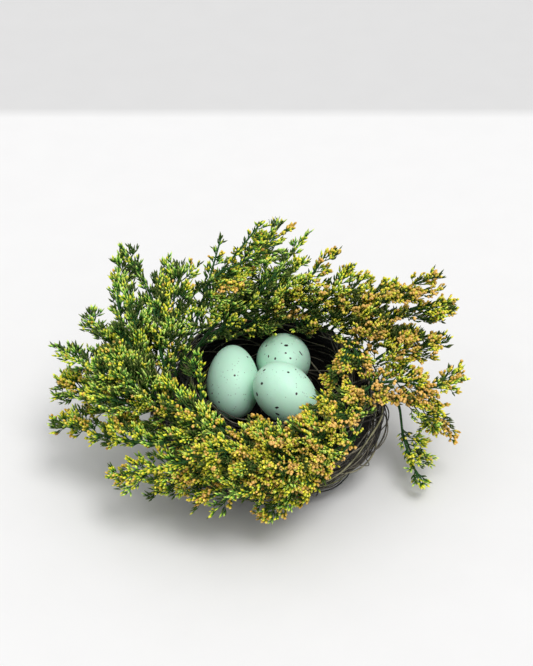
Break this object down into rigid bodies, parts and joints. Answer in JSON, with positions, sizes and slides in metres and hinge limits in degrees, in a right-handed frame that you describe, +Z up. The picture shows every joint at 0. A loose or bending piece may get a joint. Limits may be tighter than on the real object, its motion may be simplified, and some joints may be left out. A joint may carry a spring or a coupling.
{
  "type": "bird nest with eggs",
  "caption": "Round nest woven of thin dark vine, holding speckled eggs and ringed by a loose wreath of small-flowered green and tan sprays.",
  "frame": {"origin": "middle of the nest's flat base, on the surface that it rests on", "axes": "+Z up out of the nest, +X to the right and -Y towards the viewer of the picture; the wreath is longest along X"},
  "size_m": [0.2275, 0.1574, 0.11],
  "materials": {
    "nest_vine": "dry, dark, matt vine with grey and olive highlights",
    "egg_shell": "smooth pale blue-green shell with a soft sheen and dark brown speckles",
    "spray_green": "dark green stems with small green and yellow flowers, dry and matt",
    "spray_tan": "dark green stems with small flowers dried to yellow and tan, matt"
  },
  "bodies": {
    "root": {"nest_bowl": "nest_vine", "egg_left": "egg_shell", "egg_back": "egg_shell", "egg_front": "egg_shell", "sprig_left_low": "spray_green", "sprig_left_mid": "spray_green", "sprig_left_high": "spray_green", "sprig_left_outer": "spray_green", "sprig_left_back": "spray_green", "sprig_left_tall": "spray_green", "sprig_left_fill": "spray_green", "sprig_left_upright": "spray_green", "sprig_back_corner": "spray_green", "sprig_back_left": "spray_green", "sprig_back_tall": "spray_green", "sprig_back_fine": "spray_green", "sprig_back_mid": "spray_green", "sprig_back_spire": "spray_green", "sprig_back_right": "spray_green", "sprig_back_feather": "spray_green", "sprig_back_low": "spray_green", "sprig_right_tuft": "spray_tan", "sprig_right_long": "spray_tan", "sprig_right_high": "spray_tan", "sprig_right_mid": "spray_tan", "sprig_right_inner": "spray_tan", "sprig_right_out": "spray_tan", "sprig_right_reach": "spray_tan", "sprig_right_curl": "spray_tan", "sprig_right_hanging": "spray_tan", "sprig_rim_right": "spray_tan", "sprig_front_right": "spray_tan", "sprig_front_upper": "spray_tan", "sprig_front_edge": "spray_tan", "sprig_front_low": "spray_tan", "sprig_front_left": "spray_tan", "sprig_front_fill": "spray_tan", "sprig_front_reach": "spray_tan", "sprig_front_tuft": "spray_tan", "sprig_inner_left": "spray_green", "sprig_inner_curl": "spray_green"}
  },
  "joints": []
}
